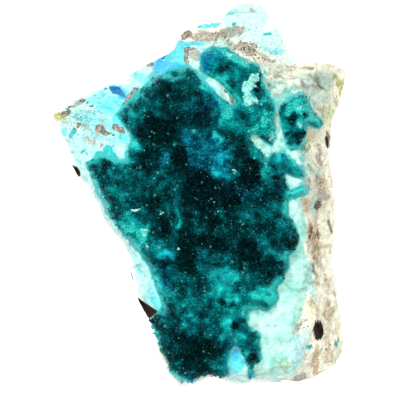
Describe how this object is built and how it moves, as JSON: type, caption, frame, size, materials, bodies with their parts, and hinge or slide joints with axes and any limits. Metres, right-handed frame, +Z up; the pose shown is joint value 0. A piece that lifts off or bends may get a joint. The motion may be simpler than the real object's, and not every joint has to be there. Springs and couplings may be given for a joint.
{
  "type": "dioptase crystal specimen on matrix",
  "caption": "Hand specimen of drusy dioptase on turquoise chrysocolla and pale broken rock, lying on its flat back.",
  "frame": {"origin": "under the middle of the specimen, on the flat broken face that it rests on", "axes": "+Z up out of the crystal face, +Y along the slab towards its pointed shoulder, +X to the right of the crystal face seen from above"},
  "size_m": [0.0492, 0.0655, 0.0259],
  "materials": {
    "matrix_rock": "broken, rough, dull",
    "chrysocolla": "smooth, waxy, pale turquoise",
    "dioptase": "glittering crystal druse, glassy dark green"
  },
  "bodies": {
    "root": {"matrix_rock": "matrix_rock", "chrysocolla_layer": "chrysocolla", "dioptase_druse": "dioptase", "dioptase_pocket_druse": "dioptase"}
  },
  "joints": []
}
